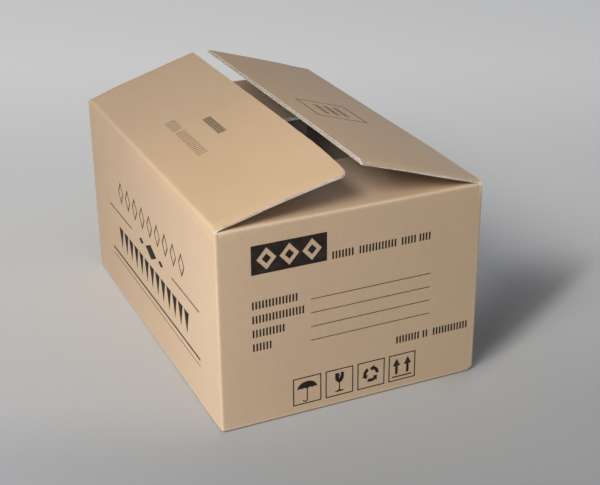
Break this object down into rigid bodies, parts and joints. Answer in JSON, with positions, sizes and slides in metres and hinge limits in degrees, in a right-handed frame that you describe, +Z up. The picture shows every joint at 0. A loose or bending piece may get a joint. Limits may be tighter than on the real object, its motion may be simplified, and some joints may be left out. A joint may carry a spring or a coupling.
{
  "type": "corrugated cardboard shipping carton",
  "caption": "Open rectangular carton of fluted kraft board, with folded-in short flaps, hinged long top flaps, a glued bottom and printed panels.",
  "frame": {"origin": "centre of the underside, on the surface that the carton stands on", "axes": "+Z up; +Y along the carton's length, so the short walls face -Y and +Y; +X to the right when the -Y short wall is looked at"},
  "size_m": [0.4001, 0.5902, 0.3646],
  "materials": {
    "kraft_board": "matte kraft liner with faint flute lines",
    "printing_ink": "matte black-brown printing ink, soaked into the liner"
  },
  "bodies": {
    "carton": {"carton_body": "kraft_board", "front_print": "printing_ink", "side_print": "printing_ink"},
    "left_flap": {"left_major_flap": "kraft_board", "left_flap_print": "printing_ink"},
    "right_flap": {"right_major_flap": "kraft_board", "right_flap_print": "printing_ink"}
  },
  "joints": [
    {"name": "left_flap_fold", "type": "hinge", "parent": "carton", "child": "left_flap", "pos_m": [-0.2003, 0, 0.306], "axis": [0, -1, 0], "range_deg": [-17, 248]},
    {"name": "right_flap_fold", "type": "hinge", "parent": "carton", "child": "right_flap", "pos_m": [0.2003, 0, 0.306], "axis": [0, 1, 0], "range_deg": [-17.5, 247.5]}
  ]
}
